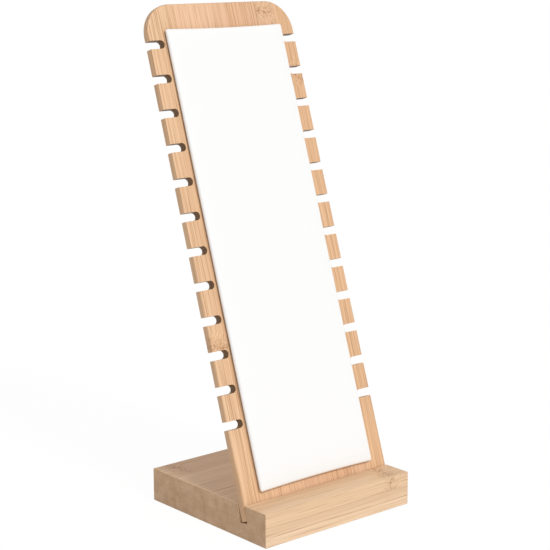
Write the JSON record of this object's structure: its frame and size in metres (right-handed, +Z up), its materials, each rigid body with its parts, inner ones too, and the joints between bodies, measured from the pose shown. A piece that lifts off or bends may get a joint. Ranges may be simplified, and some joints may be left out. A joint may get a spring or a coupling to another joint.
{
  "type": "necklace holder",
  "caption": "Bamboo display stand for hanging necklaces: a panel with notched edges and a soft white pad leans back in a slanted groove across a laminated base block.",
  "frame": {"origin": "middle of the base's underside", "axes": "+X to the right as seen from the front, +Y to the back, +Z up"},
  "size_m": [0.144, 0.1459, 0.3828],
  "materials": {
    "bamboo": "satin, clear lacquer",
    "leatherette": "matte, fine grain",
    "card": "matte",
    "foam": "matte",
    "tape": "matte"
  },
  "bodies": {
    "base": {"base_bottom_strip_1": "bamboo", "base_bottom_strip_2": "bamboo", "base_bottom_strip_3": "bamboo", "base_bottom_strip_4": "bamboo", "base_bottom_strip_5": "bamboo", "base_core_strip_1": "bamboo", "base_core_strip_2": "bamboo", "base_core_strip_3": "bamboo", "base_core_strip_4": "bamboo", "base_core_strip_5": "bamboo", "base_top_strip_1": "bamboo", "base_top_strip_2": "bamboo", "base_top_strip_3": "bamboo", "base_top_strip_4": "bamboo", "base_top_strip_5": "bamboo"},
    "panel": {"panel_stave_1": "bamboo", "panel_stave_2": "bamboo", "panel_stave_3": "bamboo", "panel_stave_4": "bamboo", "panel_stave_5": "bamboo", "panel_stave_6": "bamboo", "pad_cover": "leatherette", "pad_card": "card", "pad_foam": "foam", "pad_tape": "tape"}
  },
  "joints": [
    {"name": "panel_lift", "type": "slide", "parent": "base", "child": "panel", "axis": [0, 0.3067, 0.9518], "range_m": [0, 0.03]}
  ]
}
